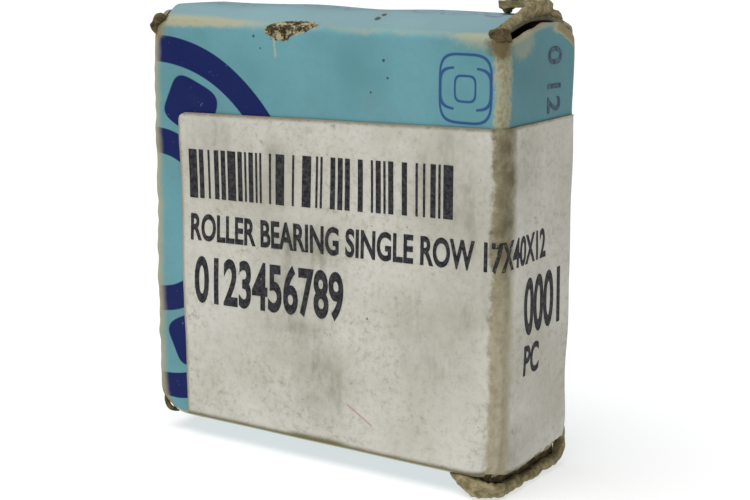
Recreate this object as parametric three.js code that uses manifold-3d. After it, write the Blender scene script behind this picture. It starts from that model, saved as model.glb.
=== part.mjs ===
// A boxed cylindrical roller bearing: a folding carton with a tuck-in lid at each end, a paper
// label wrapped round one upright edge, and the single-row roller bearing that lies inside.
// Units are millimetres. X runs along the carton's width, the front panel faces -Y, +Z is up.
// The origin is the middle of the carton's base.
import * as THREE from 'three';
import { mergeVertices } from 'three/addons/utils/BufferGeometryUtils.js';
import Module from 'manifold-3d';

// ---- Driving dimensions: bearing ----
const BORE = 17;
const OUTSIDE_DIAMETER = 40;
const BEARING_WIDTH = 12;
const PITCH_OFFSET = 0.1;
const ROLLER_DIAMETER = 6.5;
const ROLLER_LENGTH = 6.5;
const ROLLER_CHAMFER = 0.35;
const FLANGE_HEIGHT = 1.35;
const RING_CHAMFER = 0.6;
const RACEWAY_CHAMFER = 0.3;
const RADIAL_CLEARANCE = 0.04;
const FLANGE_CLEARANCE = 0.05;
const POCKET_CLEARANCE = 0.13;
const CAGE_BAR = 1.45;
const CAGE_TO_FLANGE = 0.4;
const CAGE_TO_INNER_RING = 1.15;
const CAGE_SIDE_INSET = 0.75;

// ---- Driving dimensions: carton ----
const BOARD = 0.5;
const FOLD_RADIUS = 0.45;
const FRONT_GAP = 0.6;
const BACK_GAP = 0.3;
const TUCK_GAP = 0.6;
const END_GAP = 0.35;
const LID_GAP = 0.25;
const SEAT_GAP = 0.3;
const HEADROOM = 2.6;
const CREASE_SETBACK = 0.42;
const CREASE_INSET = 0.05;
const LID_INSET = 0.65;
const BACK_PANEL_INSET = 0.1;
const TUCK_LENGTH = 4.1;
const TUCK_INSET = 1.2;
const TUCK_CORNER = 2;
const DUST_FLAP_LENGTH = 8;
const DUST_FLAP_TAPER = 0.42;
const DUST_FLAP_SIDE_GAP = 0.4;
const GLUE_FLAP_HEIGHT = 6;
const GLUE_FLAP_INSET = 6;
const BOARD_CORNER = 0.8;

// ---- Driving dimensions: the torn flap that stands over the top ----
const TORN_RISE = 0.6;
const TORN_BEND_RADIUS = 1.5;
const TORN_BEND_ANGLE = 115;
const TORN_TIP = 2.2;

// ---- Driving dimensions: label ----
const LABEL_THICKNESS = 0.15;
const LABEL_GAP = 0.05;
const LABEL_LEFT_MARGIN = 3.2;
const LABEL_TOP = 34.1;
const LABEL_BOTTOM = 0.3;
const LABEL_TILT = 1.5;
const LABEL_CORNER = 0.9;
const LABEL_FOLD_GAP = 0.2;

// ---- Facets round each turned piece ----
const RING_SIDES = 72;
const ROLLER_SIDES = 20;

// ---- Worked-out sizes: bearing. The rollers run midway between bore and outside ----
const pitchDiameter = (BORE + OUTSIDE_DIAMETER) / 2 + PITCH_OFFSET;
const innerRaceway = (pitchDiameter - ROLLER_DIAMETER) / 2;
const outerRaceway = (pitchDiameter + ROLLER_DIAMETER) / 2;
const flangeBore = outerRaceway - FLANGE_HEIGHT;
const channelHalf = ROLLER_LENGTH / 2 + FLANGE_CLEARANCE;
const halfWidth = BEARING_WIDTH / 2;
const rollerRadius = ROLLER_DIAMETER / 2 - RADIAL_CLEARANCE;
const pocketRadius = rollerRadius + POCKET_CLEARANCE;
const rollerStep = 2 * Math.asin((ROLLER_DIAMETER + CAGE_BAR) / pitchDiameter);
const rollerCount = Math.floor(2 * Math.PI / rollerStep);

// ---- Worked-out sizes: carton ----
const halfX = OUTSIDE_DIAMETER / 2 + END_GAP + BOARD + LID_GAP + BOARD;
const depth = BOARD + FRONT_GAP + BEARING_WIDTH + BACK_GAP + BOARD + TUCK_GAP + BOARD;
const halfY = depth / 2;
const height = BOARD + SEAT_GAP + OUTSIDE_DIAMETER + HEADROOM + BOARD;
const bearingY = -halfY + BOARD + FRONT_GAP + halfWidth;
const bearingZ = BOARD + SEAT_GAP + OUTSIDE_DIAMETER / 2;

// Fold lines. Each one runs down the middle of its board's thickness.
const lidFoldX = halfX - BOARD / 2;
const lidFoldY = -halfY + BOARD / 2;
const tuckFoldY = halfY - BOARD - TUCK_GAP - BOARD / 2;
const dustFoldX = halfX - BOARD - LID_GAP - BOARD / 2;
const frontPanelEnd = lidFoldX - CREASE_SETBACK;
const sideWallEnd = dustFoldX - CREASE_SETBACK;
const backPanelEnd = halfX - BACK_PANEL_INSET;
const lidBottom = LID_INSET;
const lidTop = height - LID_INSET;
const dustFront = -halfY + BOARD + DUST_FLAP_SIDE_GAP;
const dustBack = tuckFoldY - BOARD / 2 - DUST_FLAP_SIDE_GAP;

const wasm = await Module();
wasm.setup();

// ---- Materials ----
function material(color, roughness, metalness) {
  return new THREE.MeshStandardMaterial({ color, roughness, metalness });
}

const printedBoard = material(0x74b3c2, 0.75, 0);
const rawBoard = material(0x8d8260, 0.95, 0);
const paperLabel = material(0xcbc8bd, 0.8, 0);
const groundSteel = material(0xb9bdc2, 0.25, 1);
const polishedSteel = material(0xd2d5d9, 0.15, 1);
const cagePolymer = material(0xe0d6bb, 0.5, 0);

// ---- Solids ----
function toSolid(geometry) {
  const bare = geometry.clone();
  bare.deleteAttribute('normal');
  bare.deleteAttribute('uv');
  const merged = mergeVertices(bare, 1e-4);
  return new wasm.Manifold(new wasm.Mesh({
    numProp: 3,
    vertProperties: Float32Array.from(merged.attributes.position.array),
    triVerts: Uint32Array.from(merged.index.array),
  }));
}

function toGeometry(solid) {
  const mesh = solid.getMesh();
  const geometry = new THREE.BufferGeometry();
  geometry.setAttribute('position', new THREE.BufferAttribute(mesh.vertProperties, 3));
  geometry.setIndex(new THREE.BufferAttribute(mesh.triVerts, 1));
  geometry.computeVertexNormals();
  return geometry;
}

function box(low, high) {
  const size = high.map((value, axis) => value - low[axis]);
  const geometry = new THREE.BoxGeometry(...size);
  geometry.translate(...low.map((value, axis) => value + size[axis] / 2));
  return geometry;
}

// A closed profile of [radius, y] points turned about the Y axis.
function turned(profile, sides) {
  const points = [...profile, profile[0]].map(([radius, y]) => new THREE.Vector2(radius, y));
  return mergeVertices(stripped(new THREE.LatheGeometry(points, sides)), 1e-4);
}

function stripped(geometry) {
  geometry.deleteAttribute('normal');
  geometry.deleteAttribute('uv');
  return geometry;
}

// The radius whose facets, on the inside of a hole, just clear the true circle.
function holeRadius(radius, sides) {
  return radius / Math.cos(Math.PI / sides);
}

// A flat board outline of [y, z] points, extruded along +X from x.
function boardAcrossX(outline, x, thickness) {
  const shape = new THREE.Shape(outline.map(([y, z]) => new THREE.Vector2(y, z)));
  const geometry = new THREE.ExtrudeGeometry(shape, { depth: thickness, bevelEnabled: false });
  const turn = new THREE.Matrix4().makeBasis(
    new THREE.Vector3(0, 1, 0), new THREE.Vector3(0, 0, 1), new THREE.Vector3(1, 0, 0));
  geometry.applyMatrix4(turn);
  geometry.translate(x, 0, 0);
  return geometry;
}

// A flat outline of [x, z] points, extruded along +Y from y.
function boardAcrossY(outline, y, thickness) {
  const shape = new THREE.Shape(outline.map(([x, z]) => new THREE.Vector2(x, z)));
  const geometry = new THREE.ExtrudeGeometry(shape, { depth: thickness, bevelEnabled: false });
  geometry.rotateX(Math.PI / 2);
  geometry.translate(0, y + thickness, 0);
  return geometry;
}

// Corner points of a rectangle whose corners are cut back by the given amount.
function clippedRectangle(low, high, cut) {
  return [
    [low[0] + cut, low[1]], [high[0] - cut, low[1]], [high[0], low[1] + cut],
    [high[0], high[1] - cut], [high[0] - cut, high[1]], [low[0] + cut, high[1]],
    [low[0], high[1] - cut], [low[0], low[1] + cut],
  ];
}

const model = new THREE.Group();

function place(parent, name, geometry, surface) {
  const mesh = new THREE.Mesh(geometry, surface);
  mesh.name = name;
  parent.add(mesh);
  return mesh;
}

// ---- Carton sleeve: front, top, back and bottom panels as one folded tube ----
function roundedSection(inset, radius) {
  const y = halfY - inset;
  const low = inset;
  const high = height - inset;
  const shape = new THREE.Shape();
  shape.moveTo(-y + radius, low);
  shape.lineTo(y - radius, low);
  shape.absarc(y - radius, low + radius, radius, -Math.PI / 2, 0, false);
  shape.lineTo(y, high - radius);
  shape.absarc(y - radius, high - radius, radius, 0, Math.PI / 2, false);
  shape.lineTo(-y + radius, high);
  shape.absarc(-y + radius, high - radius, radius, Math.PI / 2, Math.PI, false);
  shape.lineTo(-y, low + radius);
  shape.absarc(-y + radius, low + radius, radius, Math.PI, 1.5 * Math.PI, false);
  return shape.getPoints(2).slice(0, -1).map(({ x: across, y: up }) => [across, up]);
}

function sleeve() {
  const length = 2 * backPanelEnd;
  const innerFoldRadius = FOLD_RADIUS / 3;
  const outer = toSolid(boardAcrossX(roundedSection(0, FOLD_RADIUS), -backPanelEnd, length));
  const hollow = toSolid(boardAcrossX(
    roundedSection(BOARD, innerFoldRadius), -backPanelEnd - 1, length + 2));
  let solid = outer.subtract(hollow);
  const beyond = backPanelEnd + 1;
  const clearOfBack = halfY - BOARD;
  for (const side of [-1, 1]) {
    const span = (from) => [Math.min(side * from, side * beyond), Math.max(side * from, side * beyond)];
    const [frontLow, frontHigh] = span(frontPanelEnd);
    const frontTrim = box([frontLow, -halfY - 1, -1], [frontHigh, -halfY + BOARD, height + 1]);
    const [wallLow, wallHigh] = span(sideWallEnd);
    const floorTrim = box([wallLow, -halfY + BOARD, -1], [wallHigh, clearOfBack, BOARD]);
    const roofTrim = box([wallLow, -halfY + BOARD, height - BOARD], [wallHigh, clearOfBack, height + 1]);
    for (const trim of [frontTrim, floorTrim, roofTrim]) {
      solid = solid.subtract(toSolid(trim));
    }
  }
  const glueEnd = sideWallEnd - GLUE_FLAP_INSET;
  const sunk = BOARD / 2;
  const glueFlap = box(
    [-glueEnd, halfY - 2 * BOARD, BOARD - sunk],
    [glueEnd, halfY - sunk, BOARD + GLUE_FLAP_HEIGHT]);
  return toGeometry(solid.add(toSolid(glueFlap)));
}

place(model, 'carton_sleeve', sleeve(), printedBoard);

// ---- End lids with their tuck flaps, and the dust flaps. side is +1 right, -1 left ----
function mirrored(geometry, side) {
  if (side > 0) return geometry;
  const flipped = mergeVertices(stripped(geometry), 1e-4);
  flipped.scale(-1, 1, 1);
  const order = flipped.index.array;
  for (let corner = 0; corner < order.length; corner += 3) {
    [order[corner + 1], order[corner + 2]] = [order[corner + 2], order[corner + 1]];
  }
  return flipped;
}

function endLid(side) {
  const outline = clippedRectangle(
    [lidFoldY + CREASE_INSET, lidBottom],
    [tuckFoldY - CREASE_SETBACK, lidTop],
    BOARD_CORNER / 2);
  return mirrored(boardAcrossX(outline, lidFoldX - BOARD / 2, BOARD), side);
}

function tuckFlap(side) {
  const low = lidBottom + TUCK_INSET;
  const high = lidTop - TUCK_INSET;
  const root = lidFoldX - CREASE_INSET;
  const tip = lidFoldX - TUCK_LENGTH;
  const outline = [
    [root, low], [root, high], [tip + TUCK_CORNER, high],
    [tip, high - TUCK_CORNER], [tip, low + TUCK_CORNER], [tip + TUCK_CORNER, low],
  ];
  return mirrored(boardAcrossY(outline.reverse(), tuckFoldY - BOARD / 2, BOARD), side);
}

// The dust flap on the bottom wall stands up inside the end; the one on the top wall hangs down.
function dustFlap(side, onTop) {
  const foldZ = BOARD / 2;
  const low = foldZ + CREASE_INSET;
  const high = foldZ + DUST_FLAP_LENGTH;
  const lean = DUST_FLAP_TAPER * DUST_FLAP_LENGTH;
  const upright = [
    [dustFront, low], [dustBack, low], [dustBack, high - BOARD_CORNER],
    [dustBack - BOARD_CORNER, high], [dustFront + lean, high],
  ];
  const outline = onTop ? upright.map(([y, z]) => [y, height - z]).reverse() : upright;
  return mirrored(boardAcrossX(outline, dustFoldX - BOARD / 2, BOARD), side);
}

for (const [side, name] of [[1, 'right'], [-1, 'left']]) {
  place(model, `end_lid_${name}`, endLid(side), printedBoard);
  place(model, `tuck_flap_${name}`, tuckFlap(side), printedBoard);
  place(model, `dust_flap_${name}_bottom`, dustFlap(side, false), rawBoard);
}
place(model, 'dust_flap_left_top', dustFlap(-1, true), rawBoard);

// ---- The right top dust flap: torn short, folded up and curled back over the top wall ----
function tornFlap() {
  const bend = THREE.MathUtils.degToRad(TORN_BEND_ANGLE);
  const steps = 6;
  const centre = [[0, CREASE_INSET, 0]];
  for (let i = 0; i <= steps; i += 1) {
    const turn = bend * i / steps;
    centre.push([
      -TORN_BEND_RADIUS * (1 - Math.cos(turn)),
      TORN_RISE + TORN_BEND_RADIUS * Math.sin(turn),
      turn,
    ]);
  }
  const [bendX, bendZ] = centre.at(-1);
  centre.push([bendX - TORN_TIP * Math.sin(bend), bendZ + TORN_TIP * Math.cos(bend), bend]);
  const face = (offset) => centre.map(([x, z, turn]) => [
    dustFoldX + x + offset * Math.cos(turn),
    height - BOARD / 2 + z + offset * Math.sin(turn),
  ]);
  const outline = [...face(BOARD / 2), ...face(-BOARD / 2).reverse()];
  return boardAcrossY(outline, dustFront, dustBack - dustFront);
}

place(model, 'dust_flap_right_top', tornFlap(), rawBoard);

// ---- Label: one panel on the front, one on the right lid ----
function frontLabel() {
  const tilt = THREE.MathUtils.degToRad(LABEL_TILT);
  const left = -halfX + LABEL_LEFT_MARGIN;
  const right = frontPanelEnd - LABEL_FOLD_GAP;
  const drop = LABEL_TOP - LABEL_BOTTOM;
  const outline = [
    [left + drop * Math.tan(tilt), LABEL_BOTTOM],
    [right, LABEL_BOTTOM],
    [right, LABEL_TOP + (right - left) * Math.tan(tilt)],
    [left + LABEL_CORNER, LABEL_TOP + LABEL_CORNER * Math.tan(tilt)],
    [left, LABEL_TOP - LABEL_CORNER],
  ];
  return boardAcrossY(outline, -halfY - LABEL_GAP - LABEL_THICKNESS, LABEL_THICKNESS);
}

function endLabel() {
  const tilt = THREE.MathUtils.degToRad(LABEL_TILT);
  const front = lidFoldY + BOARD / 2 + LABEL_FOLD_GAP / 2;
  const back = tuckFoldY - CREASE_SETBACK;
  const topAtFold = LABEL_TOP + (2 * halfX - LABEL_LEFT_MARGIN) * Math.tan(tilt);
  const outline = [
    [front, lidBottom + LABEL_GAP],
    [back, lidBottom + LABEL_GAP],
    [back, topAtFold + (back - front) * Math.tan(tilt)],
    [front, topAtFold],
  ];
  return boardAcrossX(outline, halfX + LABEL_GAP, LABEL_THICKNESS);
}

place(model, 'label_front', frontLabel(), paperLabel);
place(model, 'label_end', endLabel(), paperLabel);

// ---- Bearing: its own axis is Y, and its group sits where it rests in the carton ----
const bearing = new THREE.Group();
bearing.position.set(0, bearingY, bearingZ);
model.add(bearing);

// A ring section with chamfers on the two corners that face the housing or the shaft.
function outerRingProfile() {
  const outside = OUTSIDE_DIAMETER / 2;
  const chamfer = RING_CHAMFER;
  const flange = holeRadius(flangeBore, RING_SIDES);
  const raceway = holeRadius(outerRaceway, RING_SIDES);
  return [
    [flange + RACEWAY_CHAMFER, -halfWidth],
    [outside - chamfer, -halfWidth],
    [outside, -halfWidth + chamfer],
    [outside, halfWidth - chamfer],
    [outside - chamfer, halfWidth],
    [flange + RACEWAY_CHAMFER, halfWidth],
    [flange, halfWidth - RACEWAY_CHAMFER],
    [flange, channelHalf],
    [raceway, channelHalf],
    [raceway, -channelHalf],
    [flange, -channelHalf],
    [flange, -halfWidth + RACEWAY_CHAMFER],
  ];
}

function innerRingProfile() {
  const bore = holeRadius(BORE / 2, RING_SIDES);
  return [
    [bore + RACEWAY_CHAMFER, -halfWidth],
    [innerRaceway - RACEWAY_CHAMFER, -halfWidth],
    [innerRaceway, -halfWidth + RACEWAY_CHAMFER],
    [innerRaceway, halfWidth - RACEWAY_CHAMFER],
    [innerRaceway - RACEWAY_CHAMFER, halfWidth],
    [bore + RACEWAY_CHAMFER, halfWidth],
    [bore, halfWidth - RACEWAY_CHAMFER],
    [bore, -halfWidth + RACEWAY_CHAMFER],
  ];
}

function rollerProfile() {
  const end = ROLLER_LENGTH / 2;
  return [
    [0, -end],
    [rollerRadius - ROLLER_CHAMFER, -end],
    [rollerRadius, -end + ROLLER_CHAMFER],
    [rollerRadius, end - ROLLER_CHAMFER],
    [rollerRadius - ROLLER_CHAMFER, end],
    [0, end],
  ];
}

function rollerGeometry() {
  const points = rollerProfile().map(([radius, y]) => new THREE.Vector2(radius, y));
  return mergeVertices(stripped(new THREE.LatheGeometry(points, ROLLER_SIDES)), 1e-4);
}

function rollerCentre(index) {
  const angle = 2 * Math.PI * index / rollerCount;
  return [pitchDiameter / 2 * Math.sin(angle), pitchDiameter / 2 * Math.cos(angle)];
}

// The cage is one moulded ring with a round pocket for each roller.
function cageGeometry() {
  const inner = holeRadius(innerRaceway + CAGE_TO_INNER_RING, RING_SIDES);
  const outer = flangeBore - CAGE_TO_FLANGE;
  const end = halfWidth - CAGE_SIDE_INSET;
  const pocketHalf = channelHalf + POCKET_CLEARANCE / 2;
  const ring = turned([[inner, -end], [outer, -end], [outer, end], [inner, end]], RING_SIDES);
  let solid = toSolid(ring);
  const pocket = new THREE.CylinderGeometry(
    holeRadius(pocketRadius, ROLLER_SIDES), holeRadius(pocketRadius, ROLLER_SIDES),
    2 * pocketHalf, ROLLER_SIDES);
  for (let index = 0; index < rollerCount; index += 1) {
    const [x, z] = rollerCentre(index);
    solid = solid.subtract(toSolid(pocket.clone().translate(x, 0, z)));
  }
  return toGeometry(solid);
}

place(bearing, 'outer_ring', turned(outerRingProfile(), RING_SIDES), groundSteel);
place(bearing, 'inner_ring', turned(innerRingProfile(), RING_SIDES), groundSteel);
place(bearing, 'cage', cageGeometry(), cagePolymer);
for (let index = 0; index < rollerCount; index += 1) {
  const [x, z] = rollerCentre(index);
  const name = `roller_${String(index + 1).padStart(2, '0')}`;
  const roller = place(bearing, name, rollerGeometry(), polishedSteel);
  roller.position.set(x, 0, z);
}

export default model;
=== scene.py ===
import math

import bmesh
import bpy
import numpy as np
from mathutils import Euler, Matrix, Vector


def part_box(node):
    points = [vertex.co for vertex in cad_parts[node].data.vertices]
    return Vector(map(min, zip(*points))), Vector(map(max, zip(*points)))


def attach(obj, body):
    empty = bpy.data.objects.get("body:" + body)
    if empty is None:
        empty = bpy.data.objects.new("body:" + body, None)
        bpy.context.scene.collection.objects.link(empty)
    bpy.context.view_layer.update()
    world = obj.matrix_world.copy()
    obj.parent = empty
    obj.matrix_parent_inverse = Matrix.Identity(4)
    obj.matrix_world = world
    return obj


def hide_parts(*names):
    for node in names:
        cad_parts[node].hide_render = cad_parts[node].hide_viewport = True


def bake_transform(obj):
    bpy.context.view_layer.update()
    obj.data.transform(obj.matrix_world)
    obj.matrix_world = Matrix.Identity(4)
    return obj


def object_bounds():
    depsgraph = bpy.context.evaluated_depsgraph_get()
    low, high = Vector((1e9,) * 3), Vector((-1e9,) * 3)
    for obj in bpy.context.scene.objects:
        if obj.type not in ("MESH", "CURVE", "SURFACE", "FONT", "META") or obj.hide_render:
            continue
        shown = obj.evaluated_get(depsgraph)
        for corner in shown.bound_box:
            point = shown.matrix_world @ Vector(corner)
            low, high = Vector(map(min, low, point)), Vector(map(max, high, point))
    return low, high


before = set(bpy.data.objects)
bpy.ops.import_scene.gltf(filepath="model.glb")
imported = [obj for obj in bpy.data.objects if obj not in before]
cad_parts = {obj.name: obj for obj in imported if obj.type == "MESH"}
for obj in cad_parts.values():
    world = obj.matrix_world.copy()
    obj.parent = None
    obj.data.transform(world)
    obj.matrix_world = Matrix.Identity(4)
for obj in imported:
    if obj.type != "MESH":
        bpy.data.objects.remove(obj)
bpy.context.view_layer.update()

# ---- Units and places. Everything below is in millimetres until a mesh is written ----
MM = 0.001


def node_box(name):
    low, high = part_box(name)
    return np.array(low) / MM, np.array(high) / MM


def centre_of(*names):
    boxes = [node_box(name) for name in names]
    return (np.min([b[0] for b in boxes], 0) + np.max([b[1] for b in boxes], 0)) / 2


SLEEVE = node_box("carton_sleeve")
LID = node_box("end_lid_right")
DUST = node_box("dust_flap_right_bottom")
TUCK = node_box("tuck_flap_right")
TUCK_BACK = TUCK[1][1]
TUCK_TIP = TUCK[0][0]
HALF_X = LID[1][0]
FRONT_Y = SLEEVE[0][1]
BACK_Y = SLEEVE[1][1]
HEIGHT = SLEEVE[1][2]
BOARD = LID[1][0] - LID[0][0]
DEPTH = BACK_Y - FRONT_Y
DUST_X = DUST[1][0]
WALL_END = DUST_X - 0.67          # where the top and bottom walls stop and the dust flaps fold
FRONT_END = HALF_X - 0.67         # where the front panel stops and the lid's crease starts
BACK_END = HALF_X - 0.66          # where the back panel stops, behind the lids' bulged folds
LID_START = HALF_X + 0.7          # along the unfolded sheet, where the lid's flat part starts
CREASE = 0.6                      # radius of the upright creases
TOP_CREASE = 0.8                  # radius of the long creases
CROWN = 1.5                       # how far the old top panel stands up
LEFT_BULGE = 0.5                  # how far the left end stands out
LID_BULGE = 0.6                   # how far each lid stands out over its tuck flap's fold
SCUFF_S = -3.7                    # middle of the rubbed-through patch on the upper front edge
PRINT_STEP = 0.42                 # spacing of the mesh on the printed board
CORNER_RADIUS = 4.5               # rounding of each lid's upper back corner
CORNER_START = 3.3                # where that rounding starts, before the tuck flap's fold
TUCK_CORNER = 2.0                 # rounding of each tuck flap's corners
DUST_CORNER = 1.5                 # rounding of each dust flap's corners
DUST_BEND = 0.5                   # radius of the dust flaps' creases
DUST_TIP = DUST_X + 8.25          # along the unfolded sheet, where the dust flaps stop


# ---- Numbers over surfaces ----
def ramp(value, low, high):
    t = np.clip((value - low) / (high - low), 0, 1)
    return t * t * (3 - 2 * t)


def ripple(a, b, wavelength, seed):
    """Smooth bumps between about -1 and 1, the same each time."""
    chance = np.random.default_rng(seed)
    total = np.zeros(np.broadcast(a, b).shape)
    waves = 7
    for _ in range(waves):
        turn = chance.uniform(0, math.tau)
        rate = math.tau / (wavelength * chance.uniform(0.7, 1.6))
        along_wave = a * math.cos(turn) + b * math.sin(turn)
        total = total + np.sin(rate * along_wave + chance.uniform(0, math.tau))
    return total / math.sqrt(waves)


def clump(points, size, seed):
    """Lumps in space, between about -1 and 1."""
    chance = np.random.default_rng(seed)
    total = np.zeros(len(points))
    waves = 12
    for _ in range(waves):
        way = chance.normal(size=3)
        way /= np.linalg.norm(way)
        rate = math.tau / (size * chance.uniform(0.6, 1.7))
        total += np.sin(rate * (points @ way) + chance.uniform(0, math.tau))
    return total / math.sqrt(waves)


def rounding(distance, radius):
    """How much a rounded corner takes off an edge, that far into the corner."""
    past = np.clip(distance, 0, radius)
    return radius - np.sqrt(radius ** 2 - past ** 2)


def near(p, centre, reach):
    """1 at a point, fading to nothing a few reaches away."""
    return np.exp(-np.sum((p - np.array(centre)) ** 2, 1) / reach ** 2)


def crumple(points):
    """How age has moved the board. Every board and paper piece goes through it, so they stay together."""
    p = np.array(points, float)
    x, y, z = p[:, 0], p[:, 1], p[:, 2]
    moved = p.copy()
    span = 2.6 + 2.9 * ramp(x, -HALF_X, HALF_X) + 3.0 * ramp(x, HALF_X - 8, HALF_X)
    crown = CROWN * ramp((y - FRONT_Y) / span, 0, 1) * (1 - 0.35 * ramp(y, 2.5, BACK_Y))
    crown = crown + 0.1 * ripple(x, y, 13, 3) * ramp(y, FRONT_Y, FRONT_Y + 4)
    moved[:, 2] += crown * ramp(z, HEIGHT - 9, HEIGHT)
    inside = ramp(HALF_X - np.abs(x), 0.5, 5) * ramp(z, 0.5, 5) * ramp(HEIGHT - z, 0.5, 5)
    front = ramp(-y, -FRONT_Y - 1.4, -FRONT_Y - 0.3)
    back = ramp(y, BACK_Y - 1.4, BACK_Y - 0.3)
    moved[:, 1] += 0.11 * ripple(x, z, 15, 11) * front * (0.3 + inside)
    moved[:, 1] += 0.16 * ripple(x, z, 14, 12) * back * (0.3 + inside)
    ends = ramp(np.abs(x), HALF_X - 0.75, HALF_X - 0.1)
    moved[:, 0] += np.sign(x) * 0.1 * ripple(y, z, 12, 13) * ends * ramp(y, FRONT_Y + 0.5, FRONT_Y + 4)
    crease = np.exp(-((np.abs(x) - HALF_X + 0.2) ** 2 + (y - FRONT_Y - 0.2) ** 2) / 0.9 ** 2)
    moved[:, 0] += np.sign(x) * 0.07 * ripple(y, z, 1.9, 17) * crease
    moved[:, 1] += 0.07 * ripple(x, z, 2.3, 18) * crease
    lip = np.exp(-((z - HEIGHT) ** 2 + (y - FRONT_Y) ** 2) / 0.9 ** 2)
    moved[:, 2] += 0.06 * ripple(x, y, 2.6, 19) * lip
    for sx, sz, size in ((-1, 0, 0.75), (1, 0, 0.6), (-1, 1, 0.12), (1, 1, 0.3)):
        for sy in (FRONT_Y, BACK_Y):
            corner = np.array((sx * HALF_X, sy, sz * HEIGHT))
            inward = np.array((-sx, -np.sign(sy) * 0.4, 1 - 2 * sz))
            moved += size * near(p, corner, 1.7)[:, None] * inward
    moved[:, 0] -= LEFT_BULGE * ramp(-x, HALF_X - 2.2, HALF_X)
    moved[:, 1] += LID_BULGE * ramp(y, 4.5, TUCK_BACK) * ramp(np.abs(x), HALF_X - 0.9, HALF_X - 0.3)
    dent = near(p, (SCUFF_S, FRONT_Y + 0.1, HEIGHT - 0.2), 1.5)
    moved[:, 1] += 0.22 * dent
    return moved


# ---- Lines that the board follows ----
def rounded_line(corners, radius, side, zero):
    """Distance along a line of straight runs, with the point and outward normal there.

    zero is the distance of the first corner. side is 1 where outward is to the left of the way that
    the line runs, -1 where it is to the right."""
    corners = [np.array(c, float) for c in corners]
    steps = 12
    rows = []
    travelled = zero
    for i in range(len(corners) - 1):
        run = corners[i + 1] - corners[i]
        length = np.linalg.norm(run)
        way = run / length
        normal = side * np.array((-way[1], way[0]))
        first = radius if i else 0
        last = radius if i < len(corners) - 2 else 0
        rows.append((travelled + first, *(corners[i] + way * first), *normal))
        rows.append((travelled + length - last, *(corners[i + 1] - way * last), *normal))
        travelled += length
        if last:
            following = corners[i + 2] - corners[i + 1]
            following = following / np.linalg.norm(following)
            start = corners[i + 1] - way * radius
            beyond = side * np.array((-following[1], following[0]))
            for step in range(1, steps):
                share = step / steps
                angle = share * math.pi / 2
                point = start + radius * (way * math.sin(angle) + following * (1 - math.cos(angle)))
                turned = normal * math.cos(angle) + beyond * math.sin(angle)
                rows.append((travelled - radius + 2 * radius * share, *point, *turned))
    return np.array(rows)


def along(line, distance):
    a, b, na, nb = (np.interp(distance, line[:, 0], line[:, k]) for k in (1, 2, 3, 4))
    size = np.hypot(na, nb)
    return a, b, na / size, nb / size


GLUE_Y = BACK_Y - BOARD - 0.05
GLUE_TOP = 6.0
GLUE_REACH = 15.6                 # how far the glue flap goes to each side
BACK_LOW = 0.15                   # where the back panel's lower edge stops, over the bottom
# Round the sleeve: glue flap, bottom, front, top and back, as (y, z). Distance 0 is the front's lower edge.
LOOP = rounded_line(
    [(GLUE_Y, GLUE_TOP), (GLUE_Y, 0), (FRONT_Y, 0), (FRONT_Y, HEIGHT), (BACK_Y, HEIGHT), (BACK_Y, BACK_LOW)],
    TOP_CREASE, 1, -(GLUE_TOP + GLUE_Y - FRONT_Y))
# Round the belt of lids: left tuck flap, left lid, front, right lid and right tuck flap, as (x, y).
BELT = rounded_line(
    [(-TUCK_TIP, TUCK_BACK), (-HALF_X, TUCK_BACK), (-HALF_X, FRONT_Y),
     (HALF_X, FRONT_Y), (HALF_X, TUCK_BACK), (TUCK_TIP, TUCK_BACK)],
    CREASE, -1, -(2 * HALF_X + TUCK_BACK - FRONT_Y - TUCK_TIP))
LID_END = HALF_X + TUCK_BACK - FRONT_Y
TUCK_END = LID_END + HALF_X - TUCK_TIP
TOP_MIDDLE = HEIGHT + DEPTH / 2
LOOP_END = 2 * HEIGHT + DEPTH - BACK_LOW


def on_loop(s, t, depth):
    """A point of the sleeve, s across and t round it, that far under its outer face."""
    y, z, ny, nz = along(LOOP, t)
    return crumple(np.stack([s, y - ny * depth, z - nz * depth], 1))


def on_belt(s, t, depth):
    """A point of the front and the lids, s round them and t up, that far under the outer face."""
    x, y, nx, ny = along(BELT, s)
    loop_y, z, _, _ = along(LOOP, np.clip(t, 0, HEIGHT))
    sunk = depth + loop_y - FRONT_Y
    return crumple(np.stack([x - nx * sunk, y - ny * sunk, z], 1))


def dust_place(side, top):
    """Where a dust flap lies: s outwards from the sleeve's middle, t as on the wall that it grows from."""
    wall_z = HEIGHT if top else 0
    down = -1 if top else 1
    reach = 9
    corners = [(WALL_END, wall_z), (DUST_X, wall_z), (DUST_X, wall_z + down * reach)]
    line = rounded_line(corners, DUST_BEND, -down, WALL_END)

    def place(s, t, depth):
        a, b, na, nb = along(line, np.abs(s))
        y = t - HEIGHT + FRONT_Y if top else FRONT_Y - t
        flat = np.stack([side * (a - na * depth), y, b - nb * depth], 1)
        root = np.stack([np.full_like(y, side * WALL_END), y, np.full_like(y, wall_z)], 1)
        lift = crumple(root)[:, 2] - wall_z
        flat[:, 2] += lift * (1 - ramp(np.abs(s), WALL_END, WALL_END + reach) * 0.5)
        return flat

    return place


# ---- Meshes ----
def add_object(name, data):
    made = bpy.data.objects.new(name, data)
    bpy.context.scene.collection.objects.link(made)
    return made


def write_flat(mesh, values):
    """Stores where each point lies on the unfolded sheet, for the materials."""
    layer = mesh.attributes.new("flat", "FLOAT_VECTOR", "POINT")
    layer.data.foreach_set("vector", np.asarray(values, np.float32).ravel())


def smooth(mesh, sharp):
    mesh.polygons.foreach_set("use_smooth", np.ones(len(mesh.polygons), bool))
    mesh.set_sharp_from_angle(angle=math.radians(sharp))


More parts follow.
